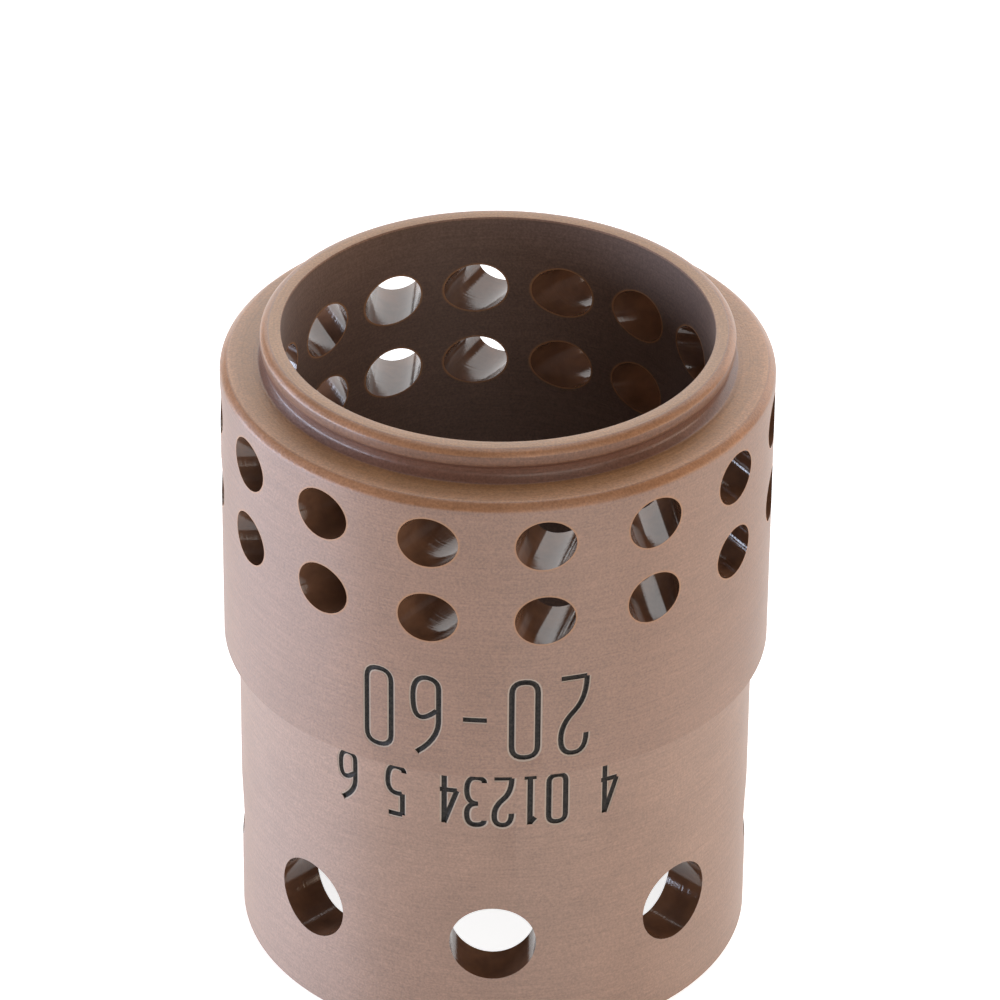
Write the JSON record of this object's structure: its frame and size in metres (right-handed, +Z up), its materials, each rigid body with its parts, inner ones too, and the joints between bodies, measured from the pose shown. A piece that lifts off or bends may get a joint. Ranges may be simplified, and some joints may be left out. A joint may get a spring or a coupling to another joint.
{
  "type": "plasma swirl ring",
  "caption": "Turned insulating tube that holds a torch electrode and spins the cutting gas through slanted holes in its collar.",
  "frame": {"origin": "centre of the lower end face", "axes": "+Z up the bore towards the lip; the marked side of the collar faces -Y"},
  "size_m": [0.0254, 0.0254, 0.032],
  "materials": {
    "polyimide": "turned polyimide, satin, with fine tool lines"
  },
  "bodies": {
    "root": {"swirl_ring": "polyimide"}
  },
  "joints": []
}
